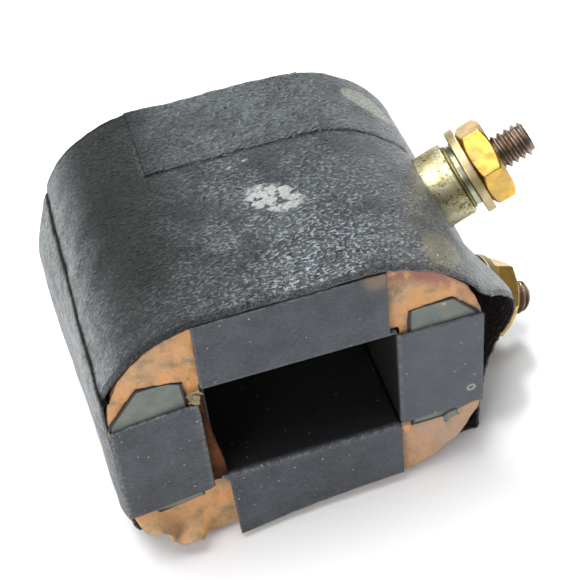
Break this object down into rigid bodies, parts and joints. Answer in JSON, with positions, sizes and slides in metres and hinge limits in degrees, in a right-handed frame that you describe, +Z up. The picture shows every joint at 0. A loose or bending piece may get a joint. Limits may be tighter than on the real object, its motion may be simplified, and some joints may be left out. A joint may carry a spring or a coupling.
{
  "type": "ignition coil",
  "caption": "Form-wound ignition coil with a rectangular core tunnel, card end flaps, a black varnished cloth wrap and two brass terminals with screw studs and hexagon nuts on one side.",
  "frame": {"origin": "centre of the core tunnel's front mouth", "axes": "+Y along the core tunnel into the coil, +X across the tunnel towards the terminals, +Z up"},
  "size_m": [0.0845, 0.0515, 0.0546],
  "materials": {
    "pressboard": "matt blue-black pressboard",
    "kraft_board": "brown kraft board",
    "oiled_kraft": "oiled orange-brown kraft paper, stained",
    "fish_paper": "grey-green fish paper",
    "kraft_paper": "kraft paper",
    "enamelled_wire": null,
    "varnished_cloth": "charcoal-black varnished cloth",
    "vulcanised_fibre": "red vulcanised fibre",
    "plated_brass": "worn nickel plate over brass, pitted",
    "bright_brass": "bright brass",
    "dull_brass": "dull brass",
    "plated_steel": "plated spring steel",
    "brown_steel": "browned steel",
    "tinned_copper": "tinned copper",
    "lead_sleeve": "varnished sleeving over copper",
    "bare_copper": null
  },
  "bodies": {
    "coil": {"board_lower": "vulcanised_fibre", "board_upper": "vulcanised_fibre", "bush_lower": "plated_brass", "bush_upper": "plated_brass", "cheek_front_left": "fish_paper", "cheek_front_right": "fish_paper", "cheek_rear_left": "fish_paper", "cheek_rear_right": "fish_paper", "cloth_patch": "varnished_cloth", "cloth_wrap": "varnished_cloth", "earth_strip": "bare_copper", "end_paper_front": "oiled_kraft", "end_paper_rear": "oiled_kraft", "flap_loose": "pressboard", "former_tube": "kraft_board", "interwinding_paper": "kraft_paper", "kraft_wrap": "kraft_paper", "lead_lower": "lead_sleeve", "lead_upper": "lead_sleeve", "liner_bottom": "pressboard", "liner_left": "pressboard", "liner_right": "pressboard", "liner_top": "pressboard", "primary_margin_front": "kraft_paper", "primary_margin_rear": "kraft_paper", "primary_winding": "enamelled_wire", "secondary_margin_front": "kraft_paper", "secondary_margin_rear": "kraft_paper", "secondary_winding": "enamelled_wire", "stud_lower": "brown_steel", "stud_upper": "brown_steel", "tag_lower": "tinned_copper", "tag_upper": "tinned_copper"},
    "washers_upper": {"thin_washer_upper": "dull_brass", "spring_washer_upper": "plated_steel", "flat_washer_upper": "dull_brass"},
    "nut_upper_body": {"nut_upper": "bright_brass"},
    "washers_lower": {"thin_washer_lower": "dull_brass", "spring_washer_lower": "plated_steel", "flat_washer_lower": "dull_brass"},
    "nut_lower_body": {"nut_lower": "bright_brass"}
  },
  "joints": [
    {"name": "nut_travel_upper", "type": "slide", "parent": "coil", "child": "washers_upper", "axis": [0.9239, 0, 0.3827], "range_m": [0, 0.00891]},
    {"name": "nut_turn_upper", "type": "hinge", "parent": "washers_upper", "child": "nut_upper_body", "pos_m": [0.04241, 0.0298, 0.01426], "axis": [0.9239, 0, 0.3827], "range_deg": [0, 2520]},
    {"name": "nut_travel_lower", "type": "slide", "parent": "coil", "child": "washers_lower", "axis": [0.9239, 0, -0.3827], "range_m": [0, 0.00637]},
    {"name": "nut_turn_lower", "type": "hinge", "parent": "washers_lower", "child": "nut_lower_body", "pos_m": [0.04241, 0.0266, -0.01707], "axis": [0.9239, 0, -0.3827], "range_deg": [0, 1800]}
  ],
  "couplings": [
    {"joint": "nut_travel_upper", "follows": "nut_turn_upper", "m_per_rad": 0.00020213},
    {"joint": "nut_travel_lower", "follows": "nut_turn_lower", "m_per_rad": 0.00020213}
  ]
}
